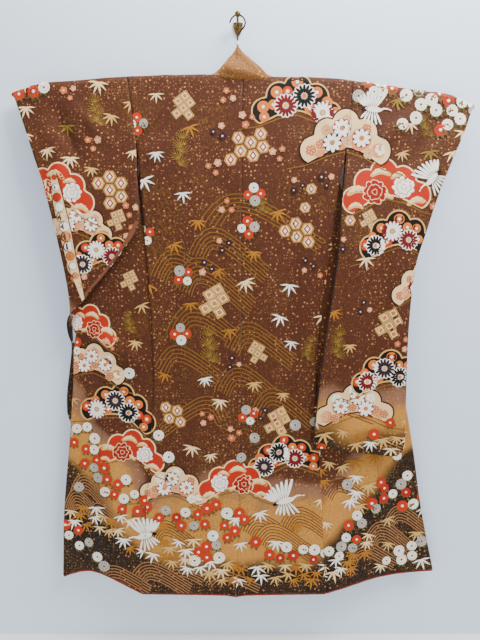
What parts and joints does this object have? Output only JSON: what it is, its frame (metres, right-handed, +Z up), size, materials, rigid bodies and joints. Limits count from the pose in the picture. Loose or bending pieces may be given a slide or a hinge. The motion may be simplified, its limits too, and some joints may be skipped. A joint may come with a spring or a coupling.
{
  "type": "furisode on a kimono hanger with its wall hook",
  "caption": "Long-sleeved formal kimono hung flat on an extending hanger from a brass wall hook, seen from behind, fronts spread outwards",
  "frame": {"origin": "the middle of the wall hook's plate, on its back face, where it meets the wall", "axes": "+Z up, +Y from the room into the wall, +X to the right of someone who looks at the wall"},
  "size_m": [1.3695, 0.0889, 1.8011],
  "materials": {
    "printed_silk": "matt crepe silk with a dyed pattern",
    "hem_lining": "plain rust-red silk",
    "hanger_plastic": "satin",
    "ferrule_plastic": "satin",
    "hook_wire": "dark satin",
    "wall_hook_brass": "aged satin"
  },
  "bodies": {
    "root": {"back_left": "printed_silk", "back_right": "printed_silk", "front_left": "printed_silk", "front_right": "printed_silk", "okumi_left": "printed_silk", "okumi_right": "printed_silk", "collar": "printed_silk", "sleeve_left_outer": "printed_silk", "sleeve_left_inner": "printed_silk", "sleeve_right_outer": "printed_silk", "sleeve_right_inner": "printed_silk", "hem_roll_back": "hem_lining", "hem_roll_left": "hem_lining", "hem_roll_right": "hem_lining", "hanger_grip": "hanger_plastic", "hanger_arm_left": "hanger_plastic", "hanger_arm_right": "hanger_plastic", "hanger_rod_left": "hanger_plastic", "hanger_rod_right": "hanger_plastic", "hanger_ferrule": "ferrule_plastic", "hanger_hook": "hook_wire", "wall_hook": "wall_hook_brass"}
  },
  "joints": []
}
